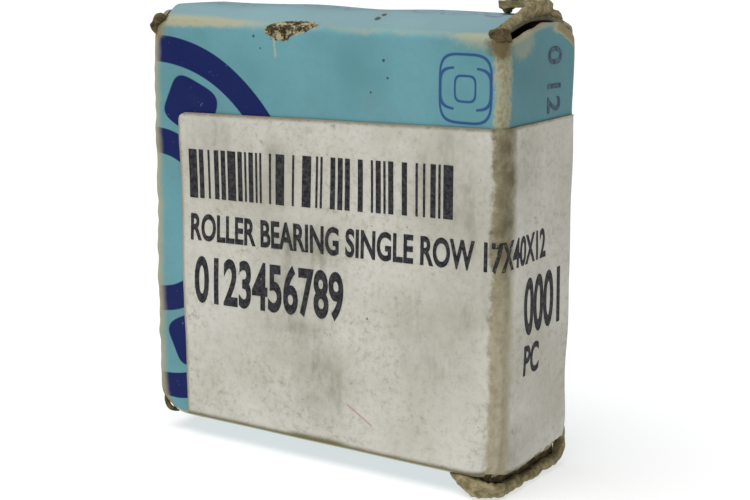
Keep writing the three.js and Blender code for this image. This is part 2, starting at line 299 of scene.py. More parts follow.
def write_mesh(name, points, faces, flat, materials, face_materials=None, sharp=38, merge=0.0):
    mesh = bpy.data.meshes.new(name)
    mesh.from_pydata([tuple(p) for p in np.asarray(points) * MM], [], faces)
    for material in materials:
        mesh.materials.append(material)
    if face_materials is not None:
        mesh.polygons.foreach_set("material_index", np.array(face_materials, np.int32))
    write_flat(mesh, flat)
    mesh.update()
    cleaned = bmesh.new()
    cleaned.from_mesh(mesh)
    if merge:
        bmesh.ops.remove_doubles(cleaned, verts=cleaned.verts, dist=merge)
    bmesh.ops.recalc_face_normals(cleaned, faces=cleaned.faces)
    cleaned.to_mesh(mesh)
    cleaned.free()
    smooth(mesh, sharp)
    return add_object(name, mesh)


def grid_faces(columns, rows):
    return [(i * columns + j, i * columns + j + 1, (i + 1) * columns + j + 1, (i + 1) * columns + j)
            for i in range(rows - 1) for j in range(columns - 1)]


def slab(name, s, t, faces, place, outer, inner, materials):
    """A closed thin piece between two depths of a surface. s, t and faces are its flat pattern.

    materials are those of its outer face and of the rest."""
    s, t = np.ravel(s).astype(float), np.ravel(t).astype(float)
    outer, inner = np.broadcast_to(outer, s.shape), np.broadcast_to(inner, s.shape)
    count = len(s)
    edges = [edge for face in faces for edge in zip(face, face[1:] + face[:1])]
    known = set(edges)
    rim = [(a, b) for a, b in edges if (b, a) not in known]
    under = [tuple(count + v for v in reversed(face)) for face in faces]
    walls = [(b, a, count + a, count + b) for a, b in rim]
    points = np.concatenate([place(s, t, outer), place(s, t, inner)])
    flat = np.concatenate([np.stack([s, t, outer], 1), np.stack([s, t, inner], 1)])
    kinds = [0] * len(faces) + [1] * (len(under) + len(walls))
    return write_mesh(name, points, list(faces) + under + walls, flat, materials, kinds)


def panel(name, left, right, low, high, place, materials, step=PRINT_STEP, thickness=BOARD, lift=0.0):
    """A board panel. left and right give s for each t, low and high give t for each s."""
    first_s, last_s, first_t, last_t = (float(edge(np.zeros(1))[0]) for edge in (left, right, low, high))
    columns = max(4, int(abs(last_s - first_s) / step) + 1)
    rows = max(4, int(abs(last_t - first_t) / step) + 1)
    v, u = np.meshgrid(np.linspace(0, 1, rows), np.linspace(0, 1, columns), indexing="ij")
    s = first_s + (last_s - first_s) * u
    t = first_t + (last_t - first_t) * v
    for _ in range(3):
        s = left(t) + (right(t) - left(t)) * u
        t = low(s) + (high(s) - low(s)) * v
    return slab(name, s, t, grid_faces(columns, rows), place, -lift, thickness - lift, materials)


def level(value, rough=0.0, seed=0):
    """An edge that stays at one value, but for a little roughness."""
    return lambda other: value + rough * ripple(other, other * 0.3, 2.4, seed)


def sweep(name, origin, offsets, radii, material, seed, lumps, stretch=1.0):
    """A lumpy roll of torn board along a smooth line. offsets are the line's points, from origin."""
    around, per_run, rounded_end = 28, 16, 0.7
    guide = (0.35, 0.25, 0.9)
    spine = np.array(origin) + np.array(offsets)
    slopes = np.gradient(spine, axis=0)
    runs = len(spine) - 1
    fine = np.linspace(0, runs, runs * per_run + 1)
    k = np.minimum(fine.astype(int), runs - 1)
    u = (fine - k)[:, None]
    centres = (2 * u ** 3 - 3 * u ** 2 + 1) * spine[k] + (u ** 3 - 2 * u ** 2 + u) * slopes[k]
    centres = centres + (3 * u ** 2 - 2 * u ** 3) * spine[k + 1] + (u ** 3 - u ** 2) * slopes[k + 1]
    size = np.interp(fine, np.arange(runs + 1), radii)
    from_end = np.clip(np.minimum(fine, runs - fine) / rounded_end, 0, 1)
    tips = np.sqrt(np.clip(1 - (1 - from_end) ** 2, 0.02, 1))
    way = np.gradient(centres, axis=0)
    way /= np.linalg.norm(way, axis=1)[:, None]
    across = np.cross(way, guide)
    across /= np.linalg.norm(across, axis=1)[:, None]
    upward = np.cross(across, way)
    angle = np.linspace(0, math.tau, around, endpoint=False)
    cos, sin = np.cos(angle), np.sin(angle)
    rings = []
    for centre, radius, tip, sideways, up in zip(centres, size, tips, across, upward):
        round_ring = centre + radius * (np.outer(cos, sideways) + np.outer(sin, up))
        lump = lumps * (clump(round_ring, 2.3, seed) + 0.45 * clump(round_ring, 0.85, seed + 1))
        reach = radius * tip * (1 + lump)
        rings.append(centre + np.outer(reach * cos * stretch, sideways) + np.outer(reach * sin, up))
    surface = np.concatenate(rings + [centres[:1], centres[-1:]])
    count = len(rings) * around
    last_ring = count - around
    faces = []
    for i in range(0, last_ring, around):
        for j in range(around):
            k = (j + 1) % around
            faces.append((i + j, i + k, i + around + k, i + around + j))
    faces += [(count, (j + 1) % around, j) for j in range(around)]
    faces += [(count + 1, last_ring + j, last_ring + (j + 1) % around) for j in range(around)]
    return write_mesh(name, surface, faces, surface, [material], sharp=60)


# ---- Materials ----
class Value:
    """A number inside a material. Arithmetic on it adds the nodes."""

    def __init__(self, paint, socket):
        self.paint = paint
        self.socket = socket

    def __abs__(self):
        return self.paint.math("ABSOLUTE", self)


def arithmetic(operation, swapped=False):
    def method(self, other):
        pair = (other, self) if swapped else (self, other)
        return self.paint.math(operation, *pair)
    return method


for sign, operation_name in (
        ("add", "ADD"), ("sub", "SUBTRACT"), ("mul", "MULTIPLY"), ("truediv", "DIVIDE"), ("pow", "POWER")):
    setattr(Value, "__" + sign + "__", arithmetic(operation_name))
    setattr(Value, "__r" + sign + "__", arithmetic(operation_name, swapped=True))


class Paint:
    """A material made of procedural nodes, measured in millimetres on the unfolded sheet."""

    def __init__(self, name, metallic=0.0):
        self.material = bpy.data.materials.new(name)
        self.material.use_nodes = True
        self.tree = self.material.node_tree
        self.shader = self.tree.nodes["Principled BSDF"]
        self.shader.inputs["Metallic"].default_value = metallic
        self.shader.inputs["Specular IOR Level"].default_value = 0.5 if metallic else 0.12
        source = self.node("Attribute", attribute_name="flat")
        self.where = Value(self, source.outputs["Vector"])
        apart = self.node("SeparateXYZ")
        self.feed(self.where, apart.inputs[0])
        self.s = Value(self, apart.outputs[0])
        self.t = Value(self, apart.outputs[1])

    def node(self, kind, **settings):
        made = self.tree.nodes.new("ShaderNode" + kind)
        for key, value in settings.items():
            setattr(made, key, value)
        return made

    def feed(self, value, socket):
        if isinstance(value, Value):
            self.tree.links.new(value.socket, socket)
        else:
            socket.default_value = value

    def math(self, operation, *values):
        made = self.node("Math", operation=operation)
        for value, socket in zip(values, made.inputs):
            self.feed(value, socket)
        return Value(self, made.outputs[0])

    def most(self, *values):
        found = values[0]
        for value in values[1:]:
            found = self.math("MAXIMUM", found, value)
        return found

    def step(self, value, low, high):
        """0 up to low, 1 from high, smooth between. High may be under low."""
        made = self.node("MapRange", interpolation_type="SMOOTHSTEP")
        self.feed(value, made.inputs["Value"])
        ends = (high, low, 1.0, 0.0) if high < low else (low, high, 0.0, 1.0)
        for label, end in zip(("From Min", "From Max", "To Min", "To Max"), ends):
            made.inputs[label].default_value = end
        return Value(self, made.outputs["Result"])

    def noise(self, size, detail=3.0, rough=0.55, stretch=(1, 1, 1), shift=0.0):
        place = self.node("Mapping")
        self.feed(self.where, place.inputs["Vector"])
        place.inputs["Location"].default_value = (shift, shift * 0.7, shift * 1.3)
        place.inputs["Scale"].default_value = tuple(1 / (size * k) for k in stretch)
        made = self.node("TexNoise")
        made.inputs["Scale"].default_value = 1.0
        made.inputs["Detail"].default_value = detail
        made.inputs["Roughness"].default_value = rough
        self.tree.links.new(place.outputs[0], made.inputs["Vector"])
        return Value(self, made.outputs["Fac"])

    def flecks(self, low, high, *size, **noise):
        """Where a noise passes from low to high."""
        return self.step(self.noise(*size, **noise), low, high)

    def mix(self, factor, first, second):
        made = self.node("Mix", data_type="RGBA")
        for value, socket in ((factor, made.inputs[0]), (first, made.inputs[6]), (second, made.inputs[7])):
            self.feed(colour(*value) if isinstance(value, tuple) else value, socket)
        return Value(self, made.outputs[2])

    def over(self, base, *coats):
        """Lays coats over a base, one after the other. Each is how much of it there is, and its colour."""
        for amount, tint in coats:
            base = self.mix(amount, base, tint)
        return base

    def distance(self, s, t, tall=1.0):
        across, up = self.s - s, (self.t - t) / tall
        return (across * across + up * up) ** 0.5

    def finish(self, base, roughness, height=None, bump=0.3, reach=0.1):
        self.feed(base, self.shader.inputs["Base Color"])
        self.feed(roughness, self.shader.inputs["Roughness"])
        if height is not None:
            made = self.node("Bump")
            made.inputs["Strength"].default_value = bump
            made.inputs["Distance"].default_value = reach * MM
            self.feed(height, made.inputs["Height"])
            self.tree.links.new(made.outputs[0], self.shader.inputs["Normal"])
        return self.material


def colour(red, green, blue):
    """A colour from the 0 to 255 values that a screen shows."""
    def linear(v):
        v = v / 255
        return v / 12.92 if v <= 0.04045 else ((v + 0.055) / 1.055) ** 2.4
    return (linear(red), linear(green), linear(blue), 1)


TEAL = (112, 166, 175)
TEAL_DULL = (97, 148, 155)
# Painted light: a paler, greyer teal for the top panel, standing in for the overhead key falling on it.
TOP_PAINTED_LIGHT = (148, 163, 166)
# Painted shade: a darker teal for the end lids, standing in for their turning away from the key light.
END_PAINTED_SHADE = (52, 80, 82)
DARK_BLUE = (18, 33, 90)
LINE_BLUE = (40, 72, 130)
RUBBED_BLUE = (128, 140, 160)
SPECK = (62, 58, 42)
CREAM = (176, 171, 140)
TAN = (150, 136, 98)
RAW = (146, 136, 102)
RAW_DARK = (88, 78, 52)
PAPER = (215, 213, 203)
PAPER_DULL = (196, 193, 180)
DIRT = (120, 116, 98)
STAIN = (124, 122, 102)
INK = (30, 30, 33)


def outline(paint, s, t, half_s, half_t, stroke):
    """The line of a rounded rectangle."""
    across = abs(paint.s - s) / half_s
    up = abs(paint.t - t) / half_t
    size = (across ** 4 + up ** 4) ** 0.25
    inner = 1 - stroke / min(half_s, half_t)
    soft = 0.06 / min(half_s, half_t)
    return paint.step(size, inner - soft, inner + soft) * paint.step(size, 1 + soft, 1 - soft)


def bearing_art(paint):
    """A dark-blue bearing seen end on, round the left front edge: two bands with rollers between."""
    centre_s, centre_t = -HALF_X - 0.4, HEIGHT / 2
    pitch, rollers_at, roller_length, roller_width = math.radians(45), 13.85, 2.75, 3.3
    across, up = paint.s - centre_s, paint.t - centre_t
    radius = (across * across + up * up) ** 0.5
    soft = 0.07
    bands = 0.0
    for inner, outer in ((17.4, 20.3), (7.5, 10.3)):
        inside = paint.step(radius, outer + soft, outer - soft)
        bands = paint.most(paint.step(radius, inner - soft, inner + soft) * inside, bands)
    angle = paint.math("ARCTAN2", up, across)
    turned = paint.math("FLOORED_MODULO", angle, pitch) - pitch / 2
    out = (radius * paint.math("COSINE", turned) - rollers_at) / roller_length
    side = radius * paint.math("SINE", turned) / roller_width
    rollers = paint.step(out ** 4 + side ** 4, 1.1, 0.9)
    return paint.most(bands, rollers)


def line_art(paint):
    """Thin outlines: a bearing section on the front's upper right, and a row of symbols along the top."""
    section, middle = 17.3, HEIGHT - 5.2
    symbol = paint.most(
        outline(paint, section, middle, 3.0, 3.4, 0.24),
        outline(paint, section, middle, 1.25, 1.35, 0.22),
        outline(paint, section, middle, 3.0, 2.1, 0.24) * paint.step(abs(paint.s - section), 1.2, 1.3))
    pitch = 8.4
    up = paint.t - TOP_MIDDLE
    row = paint.math("FLOORED_MODULO", paint.s, pitch) - pitch / 2
    ring = (row * row + up * up) ** 0.5
    between = paint.math("FLOORED_MODULO", paint.s + pitch / 2, pitch) - pitch / 2
    size = ((abs(between) / 1.0) ** 4 + (abs(up) / 2.3) ** 4) ** 0.25
    symbols = paint.most(
        paint.step(size, 0.72, 0.78) * paint.step(size, 1.03, 0.97),
        paint.step(ring, 0.98, 1.06) * paint.step(ring, 1.32, 1.24),
        paint.step(ring, 2.12, 2.2) * paint.step(ring, 2.46, 2.38))
    return paint.most(symbol, symbols * paint.step(abs(paint.s), 18.6, 18.5)) * 0.9


def crease_wear(paint):
    """How worn the print is along the folds, 0 to 1."""
    rough = paint.noise(1.1, 4, 0.65)
    broad = paint.noise(4.5, 2, 0.5, shift=7)
    tatter = paint.flecks(0.36, 0.58, 0.55, 5, 0.75, shift=16)
    sway = (broad - 0.5) * 1.3 + (rough - 0.5) * 1.2
    away = abs(paint.s)
    swayed = paint.s - HALF_X + sway * 0.6
    right = paint.step(swayed, -1.9, -0.6) * paint.step(swayed, 2.4, 0.2) * (0.55 + tatter * 0.5)
    left = paint.step(abs(paint.s + HALF_X + sway * 0.6), 1.9, 0.2)
    lid_edge = paint.step(paint.t, HEIGHT - 1.5, HEIGHT - 0.8) * paint.step(away, HALF_X + 0.5, HALF_X + 1)
    past = paint.most(away - (LID_END - CORNER_START), 0.0)
    kept = paint.most(CORNER_RADIUS ** 2 - past * past, 0.01) ** 0.5
    below = LID[1][2] - CORNER_RADIUS + kept - paint.t
    back_corner = paint.step(below + (rough - 0.5) * 0.9, 1.3, 0.7)
    back_corner = back_corner * paint.step(away, LID_END - 6, LID_END - 2.5)
    upright = paint.most(right * 1.15, left * 0.8, lid_edge * 0.7, back_corner * 1.3)
    upright = upright * paint.step(paint.t, HEIGHT + 0.6, HEIGHT - 0.2)
    top = paint.step(abs(paint.t - HEIGHT - 0.2 + sway * 0.5), 1.7, 0.1)
    top = top * (0.72 + paint.step(paint.s, -4, -15) * 0.6)
    others = paint.most(
        paint.step(abs(paint.t), 0.9, 0.1), paint.step(abs(paint.t - HEIGHT - DEPTH), 0.9, 0.1),
        paint.step(abs(paint.t - LOOP_END), 0.8, 0.1), paint.step(abs(away - LID_END), 0.9, 0.1))
    return paint.most(upright, top * 0.66, others * 0.8) * (0.35 + rough * 0.85 + broad * 0.45)


def scuff(paint):
    """The rubbed-through patch on the upper front edge, and the narrow tail that runs down from it."""
    up = paint.t - HEIGHT
    size = (((paint.s - SCUFF_S - up * 1.1) / 2.9) ** 2 + (up / 1.25) ** 2) ** 0.5
    lobe = ((paint.s + 4.9) / 1.5) ** 2 + ((up + 0.9) / 0.8) ** 2
    size = paint.math("MINIMUM", size, lobe ** 0.5)
    ragged = paint.noise(0.9, 4, 0.7, shift=3) * 0.7 + paint.noise(0.35, 3, 0.7, shift=13) * 0.35
    patch = paint.step(size + ragged, 1.6, 1.45)
    tail = paint.step(abs(paint.s + 5.7 + up * 0.1 + (ragged - 0.5) * 0.5), 0.2, 0.06)
    tail = tail * paint.step(up, -3.6, -3.0) * paint.step(up, -1.2, -1.6)
    return patch, tail


# Small dark marks on the upper front and the top: s, t, size.
SPECKS = (
    (7.9, 40.9, 0.2), (8.4, 39.2, 0.16), (6.5, 37.7, 0.14), (-8.2, 42.6, 0.2), (-7.3, 41.4, 0.14),
    (5.6, HEIGHT + 2.4, 0.4), (5.9, HEIGHT + 3.1, 0.35),
)
# Places by the corners where the print is rubbed off: s, t, reach, how tall against wide, colour, strength.
CORNER_MARKS = (
    (HALF_X + 3.4, HEIGHT - 1.5, 2.6, 0.55, CREAM, 0.45),
    (HALF_X - 2.2, HEIGHT - 0.1, 4.2, 0.35, CREAM, 0.6),
    (HALF_X - 0.3, HEIGHT - 0.7, 2.0, 0.95, (100, 88, 58), 0.9),
    (-HALF_X + 0.2, HEIGHT - 0.6, 1.5, 1.2, TAN, 0.8),
    (-HALF_X, 0.6, 1.6, 1.2, TAN, 0.85), (HALF_X, 0.8, 2.6, 1.0, TAN, 0.9),
    (LID_END - 3.5, 0.9, 5.5, 0.4, TAN, 0.95),
    (-LID_END, HEIGHT - 2, 1.6, 1.0, TAN, 0.7), (-LID_END, 1.0, 1.8, 1.0, TAN, 0.8),
)


def printed_board():
    """The carton's printed outside, from the print itself to its marks and wear, with painted light on the
    top panel and painted shade on the ends.
    """
    paint = Paint("carton_print_board")
    fine = paint.noise(0.5, 2, 0.6, shift=2)
    art = bearing_art(paint)
    art_wear = paint.flecks(0.74, 0.7, 0.7, 4, 0.7, shift=9)
    back_edge = HEIGHT + DEPTH
    painted_light_top = paint.step(paint.t, HEIGHT, HEIGHT + 1.2) * paint.step(paint.t, back_edge, back_edge - 1)
    back_panel = paint.step(paint.t, back_edge - 0.5, back_edge + 0.5)
    dirt = paint.flecks(0.5, 0.85, 6, 5, 0.62, shift=5.3) * 0.2
    scratch = paint.flecks(0.68, 0.74, 0.5, 5, 0.75, stretch=(0.8, 1.5, 1), shift=21)
    scratch = scratch * paint.flecks(0.48, 0.6, 6, 2, 0.5, shift=31)
    speck = paint.flecks(0.79, 0.83, 0.42, 1, 0.4, shift=41)
    speck = speck * paint.flecks(0.5, 0.6, 5, 1, 0.5, shift=45)
    rubbed_ink = paint.flecks(0.66, 0.72, 0.6, 3, 0.7, shift=55) * art
    smudge = paint.flecks(0.5, 0.8, 2.2, 5, 0.65, stretch=(1.6, 0.8, 1), shift=57)
    base = paint.over(
        TEAL,
        (paint.flecks(0.35, 0.7, 14, 3, 0.5), TEAL_DULL),
        (paint.step(fine, 0.35, 0.8) * 0.22, TEAL_DULL),
        (art * (0.6 + art_wear * 0.4), DARK_BLUE),
        (line_art(paint), LINE_BLUE),
        # Painted light: the top panel is made paler, as if lit from above.
        (painted_light_top * 0.5, TOP_PAINTED_LIGHT),
        # Painted shade: the end lids and their tuck flaps are darkened, as if turned from the light.
        (paint.step(abs(paint.s), HALF_X, HALF_X + 0.8) * 0.33, END_PAINTED_SHADE),
        (dirt * (1 - art * 0.75), DIRT),
        (scratch * 0.55, CREAM),
        (speck * 0.75, RAW_DARK),
        (rubbed_ink * 0.4, RUBBED_BLUE),
        (smudge * back_panel * 0.6, DIRT))
    for s, t, reach in SPECKS:
        spot = paint.distance(s, t) + (fine - 0.5) * reach
        base = paint.mix(paint.step(spot, reach, reach * 0.5) * 0.85, base, SPECK)
    wear = crease_wear(paint)
    base = paint.over(
        base,
        (paint.step(wear, 0.25, 0.85) * 0.85, CREAM),
        (paint.step(wear, 0.8, 1.25) * 0.8, TAN),
        (paint.step(paint.noise(0.8, 3, 0.6, shift=12) * wear, 0.55, 0.8), RAW))
    frayed = (paint.noise(0.7, 6, 0.78, shift=58) - 0.5) * 1.3
    for s, t, reach, tall, tint, strength in CORNER_MARKS:
        spot = paint.distance(s, t, tall) / reach + frayed
        base = paint.mix(paint.step(spot, 1.15, 0.45) * strength, base, tint)
    rubbed, tail = scuff(paint)
    patches = paint.flecks(0.46, 0.6, 0.7, 5, 0.72, shift=5)
    grime = paint.mix(paint.flecks(0.4, 0.65, 0.4, 4, 0.7, shift=15), (38, 31, 20), (92, 76, 46))
    bare = paint.mix(patches * 0.85, grime, (186, 176, 138))
    base = paint.over(base, (rubbed, bare), (tail * 0.7, (182, 178, 148)))
    height = fine * 0.4 + paint.noise(2.5, 3, 0.6, shift=14) * 0.5 + wear * 0.5 - rubbed * 0.8
    return paint.finish(base, 0.55 + paint.step(wear, 0.2, 0.8) * 0.35, height, 0.35, 0.12)


def fibre_board(name, pale, dark, grey=0.0):
    """Raw grey-brown board, as fibres and plies."""
    paint = Paint(name)
    fibres = paint.noise(0.7, 4, 0.65, stretch=(1.3, 1, 0.9))
    plies = paint.noise(0.35, 3, 0.6, stretch=(2, 2, 0.7), shift=6)
    clumps = paint.noise(1.6, 3, 0.6, shift=11)
    base = paint.over(
        dark,
        (paint.step(fibres, 0.3, 0.75), pale),
        (paint.step(clumps, 0.45, 0.7) * 0.55, dark),
        (paint.step(plies, 0.55, 0.8) * 0.35, (168, 158, 124)),
        (grey, (150, 150, 142)))
    height = fibres * 0.6 + plies * 0.5 + clumps * 0.5
    return paint.finish(base, 0.85 + fibres * 0.1, height, 0.6, 0.25)


LABEL_BOX = (node_box("label_front"), node_box("label_end"))
LABEL_TILT = math.radians(1.5)
LABEL_LEFT = LABEL_BOX[0][0][0]
LABEL_LOW = LABEL_BOX[0][0][2]
LABEL_TOP = LABEL_BOX[0][1][2]
# Stains on the label: s, t, reach, how tall against wide, strength.
STAINS = (
    (-3.5, 16.0, 9.0, 1.1, 0.8), (0.5, 7.0, 5.5, 1.3, 0.95), (-1.0, 21.6, 8.0, 0.4, 0.95),
    (16.5, 29.0, 7.0, 1.3, 0.7), (14.0, 14.0, 7.0, 1.3, 0.5), (-14.0, 31.5, 6.0, 0.6, 0.5),
    (13.0, 29.5, 1.6, 1.8, 0.9), (-5.6, 31.0, 1.8, 1.5, 0.8), (-2.5, 12.5, 3.5, 0.4, 0.7),
    (-5.0, 28.5, 4.0, 1.2, 0.6), (18.5, 20.0, 5.0, 2.0, 0.6),
    (26.0, 30.0, 5.0, 1.4, 0.4), (24.0, 3.0, 6.0, 0.7, 0.8), (-8.0, 26.0, 6.0, 0.8, 0.35),
)


def red_scratch(paint, frayed):
    """A short slanting scratch low on the label."""
    middle_s, middle_t, lean = 5.4, 4.3, math.radians(-29)
    across, up = paint.s - middle_s, paint.t - middle_t
    far = across * math.cos(lean) + up * math.sin(lean)
    off = up * math.cos(lean) - across * math.sin(lean)
    return paint.step(abs(far), 2.1, 1.6) * paint.step(abs(off) + frayed * 0.3, 0.16, 0.04)


def worn_paper(paint, base, blotch):
    """The paper rubbed and soiled along the crease, and how worn it is, 0 to 1."""
    rough = paint.noise(1.2, 4, 0.65, shift=19)
    sway = (paint.noise(3.4, 3, 0.6, shift=35) - 0.5) * 2.4 + (rough - 0.5) * 1.6
    past = paint.s - HALF_X
    high = paint.step(paint.t, 13, 24)
    soiled = 0.45 + high * 0.4
    swayed = past + sway * 0.5
    wear = paint.step(swayed, -1.5, -0.5) * paint.step(swayed, 3.6, 0.7) * (0.5 + rough * 0.8)
    worn = paint.mix(high, (176, 167, 140), (158, 152, 124))
    ridge = paint.step(abs(past - 0.2 + sway * 0.15), 0.5, 0.1) * (1 - high)
    grimy = paint.step(abs(past - 0.9 + sway * 0.6), 2.1, 0.5) * paint.step(paint.t, 19, 25)
    fuzz = paint.noise(0.9, 5, 0.72, stretch=(1, 1.4, 1), shift=27)
    split = paint.step(abs(past + 0.95 + sway * 0.35), 0.55, 0.02)
    broken = paint.flecks(0.42, 0.68, 1.8, 5, 0.72, shift=37)
    base = paint.over(
        base,
        (paint.step(wear, 0.1, 0.85) * 0.92, worn),
        (ridge * 0.5, (196, 188, 166)),
        (grimy * (0.25 + paint.step(blotch, 0.38, 0.62) * 0.6), (92, 85, 66)),
        (paint.step(wear * fuzz, 0.26, 0.7) * soiled, (118, 106, 76)),
        (split * broken * soiled, (92, 80, 54)))
    return base, wear


def paper_base(paint):
    """The label's paper with its stains, how worn it is along the crease, its grain and its blotches."""
    grain = paint.noise(0.45, 3, 0.65, shift=8)
    blotch = paint.noise(2.6, 5, 0.62, shift=17)
    smear = paint.noise(1.7, 4, 0.6, stretch=(0.8, 2.2, 1), shift=18)
    base = paint.over(
        PAPER,
        (paint.flecks(0.3, 0.75, 9, 4, 0.6, shift=2), PAPER_DULL),
        (paint.step(grain, 0.5, 0.85) * 0.3, (170, 166, 150)))
    marked = 0.2 + paint.step(blotch, 0.35, 0.75) * 0.5 + paint.step(smear, 0.46, 0.72) * 0.5
    for s, t, reach, tall, strength in STAINS:
        spot = paint.distance(s, t, tall) + (blotch - 0.5) * reach * 0.8
        base = paint.mix(paint.step(spot, reach, reach * 0.1) * marked * strength, base, STAIN)
    mottle = paint.noise(0.8, 6, 0.75, shift=24)
    zone = paint.flecks(0.36, 0.66, 7.5, 3, 0.6, shift=25)
    speck = paint.flecks(0.72, 0.78, 0.5, 2, 0.5, shift=23)
    frayed = (mottle - 0.5) * 0.8
    slope = math.tan(LABEL_TILT)
    under = LABEL_TOP - (HALF_X - paint.s) * slope - paint.t
    beside = paint.s - LABEL_LEFT - (LABEL_TOP - paint.t) * slope * 0.75
    above = paint.t - LABEL_LOW
    rim = paint.most(
        paint.step(abs(under) + frayed, 0.5, 0.05) * 0.75,
        paint.step(beside + frayed, 0.45, 0.05) * 0.6,
        paint.step(above + frayed, 0.75, 0.1) * 0.9)
    olive = paint.step(above + frayed, 1.0, 0.4) * paint.step(abs(paint.s), 4.5, 2.5)
    base = paint.over(
        base,
        (paint.step(mottle, 0.44, 0.72) * (0.3 + zone * 0.5), (158, 154, 134)),
        (paint.step(mottle, 0.6, 0.76) * zone * 0.7, (112, 104, 78)),
        (speck * (0.25 + zone * 0.6), (88, 80, 58)),
        (rim, (112, 102, 70)),
        (olive * 0.8, (112, 108, 72)),
        (red_scratch(paint, frayed) * 0.5, (176, 104, 92)))
    base, wear = worn_paper(paint, base, blotch)
    return base, wear, grain, blotch


def label_paper():
    paint = Paint("label_paper_sheet")
    base, wear, grain, blotch = paper_base(paint)
    height = grain * 0.5 + blotch * 0.35 + wear * paint.noise(0.7, 4, 0.7, shift=51) * 1.4
    return paint.finish(base, 0.72, height, 0.3, 0.14)


def label_ink():
    paint = Paint("label_ink_print")
    base, wear, grain, blotch = paper_base(paint)
    thin = paint.noise(0.5, 4, 0.75, shift=61)
    patchy = paint.noise(3.5, 3, 0.6, shift=63)
    gone = paint.step(thin + patchy * 0.3 + wear * 0.16, 0.84, 0.98)
    inked = paint.mix(paint.step(thin, 0.35, 0.7), INK, (72, 72, 74))
    return paint.finish(paint.mix(gone, inked, base), 0.6, grain * 0.5, 0.2, 0.1)


def stamp_ink():
    paint = Paint("stamp_ink_print")
    thin = paint.noise(0.6, 3, 0.7, shift=71)
    base = paint.mix(paint.step(thin, 0.4, 0.7), (66, 78, 96), (92, 116, 128))
    return paint.finish(base, 0.6, thin, 0.15, 0.05)


def turned_steel(name, base_colour, roughness, line):
    """Ground steel: fine lines round the axis and a little cloudiness."""
    paint = Paint(name, metallic=1.0)
    lines = paint.noise(line, 2, 0.6, stretch=(60, 1, 1))
    cloud = paint.noise(3.0, 3, 0.55, shift=5)
    base = paint.mix(paint.step(cloud, 0.3, 0.75), base_colour, tuple(c * 0.96 for c in base_colour))
    return paint.finish(base, roughness + lines * 0.14 + cloud * 0.02, lines, 0.12, 0.02)


def moulded_cage():
    paint = Paint("cage_moulded_polymer")
    flow = paint.noise(2.4, 4, 0.6)
    glass = paint.noise(0.22, 2, 0.6, stretch=(3, 1, 1), shift=4)
    base = paint.over(
        (226, 216, 186),
        (paint.step(flow, 0.3, 0.7), (206, 194, 160)),
        (paint.step(glass, 0.6, 0.75) * 0.4, (236, 230, 208)))
    return paint.finish(base, 0.42 + glass * 0.15, flow * 0.3 + glass * 0.4, 0.15, 0.05)


PRINT = printed_board()
BOARD_INSIDE = fibre_board("carton_inside_board", (160, 154, 132), (128, 120, 98), 0.15)
TORN = fibre_board("torn_board", (176, 166, 130), (116, 105, 74))
BRUISED = fibre_board("bruised_board", (116, 102, 72), (60, 50, 32))
PAPER_SHEET = label_paper()
LABEL_INK = label_ink()
STAMP_INK = stamp_ink()
RING_STEEL = turned_steel("ring_ground_steel", (196, 199, 203), 0.2, 0.06)
ROLLER_STEEL = turned_steel("roller_polished_steel", (212, 214, 218), 0.1, 0.04)
CAGE_POLYMER = moulded_cage()
CARTON_BOARD = [PRINT, BOARD_INSIDE]


# ---- Carton ----
def ride(piece, body, slot, *nodes):
    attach(piece, body)
    if nodes:
        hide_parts(*nodes)


def fold_piece(piece, start, end):
    tuple(np.array(start) * MM)
    tuple(np.array(end) * MM)
    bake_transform(piece)


def strip(name, side, start, end, low, high, place, step, thickness=BOARD):
    """A panel of carton board on one side of the front, between two upright edges, the inner one first."""
    left, right = sorted((side * start, side * end))
    return panel(name, level(left), level(right), low, high, place, CARTON_BOARD, step, thickness)


def sleeve_reach(t):
    """How far the sleeve goes to each side, for each place round it."""
    front = ramp(t, -0.6, 0.6) * (1 - ramp(t, HEIGHT - 0.6, HEIGHT + 0.6))
    back = ramp(t, HEIGHT + DEPTH - 0.3, HEIGHT + DEPTH + 0.3)
    glue = 1 - ramp(t, -DEPTH - 0.2, -DEPTH + 0.8)
    reach = WALL_END + (FRONT_END - WALL_END) * front + (BACK_END - WALL_END) * back
    return reach - (reach - GLUE_REACH) * glue + 0.04 * ripple(t, t * 0.2, 1.8, 31) * (1 - front)


def make_sleeve():
    sleeve = panel("sleeve_board", lambda t: -sleeve_reach(t), sleeve_reach,
                   level(LOOP[0, 0]), level(LOOP_END, 0.05, 33), on_loop, CARTON_BOARD)
    ride(sleeve, "carton", "carton_print", "carton_sleeve")


def lid_top(s):
    """The lid's upper edge, falling off at its back corner."""
    corner = rounding(np.abs(s) - (LID_END - CORNER_START), CORNER_RADIUS)
    return LID[1][2] - corner + 0.07 * ripple(s, s * 0.4, 2.2, 41)


def lid_bottom(s):
    rise = ramp(np.abs(s), LID_END - 3.5, LID_END - 0.4)
    return LID[0][2] + rise + 0.05 * ripple(s, s * 0.4, 2.0, 42)


def tuck_corner(s):
    return rounding(np.abs(s) - (TUCK_END - TUCK_CORNER), TUCK_CORNER)


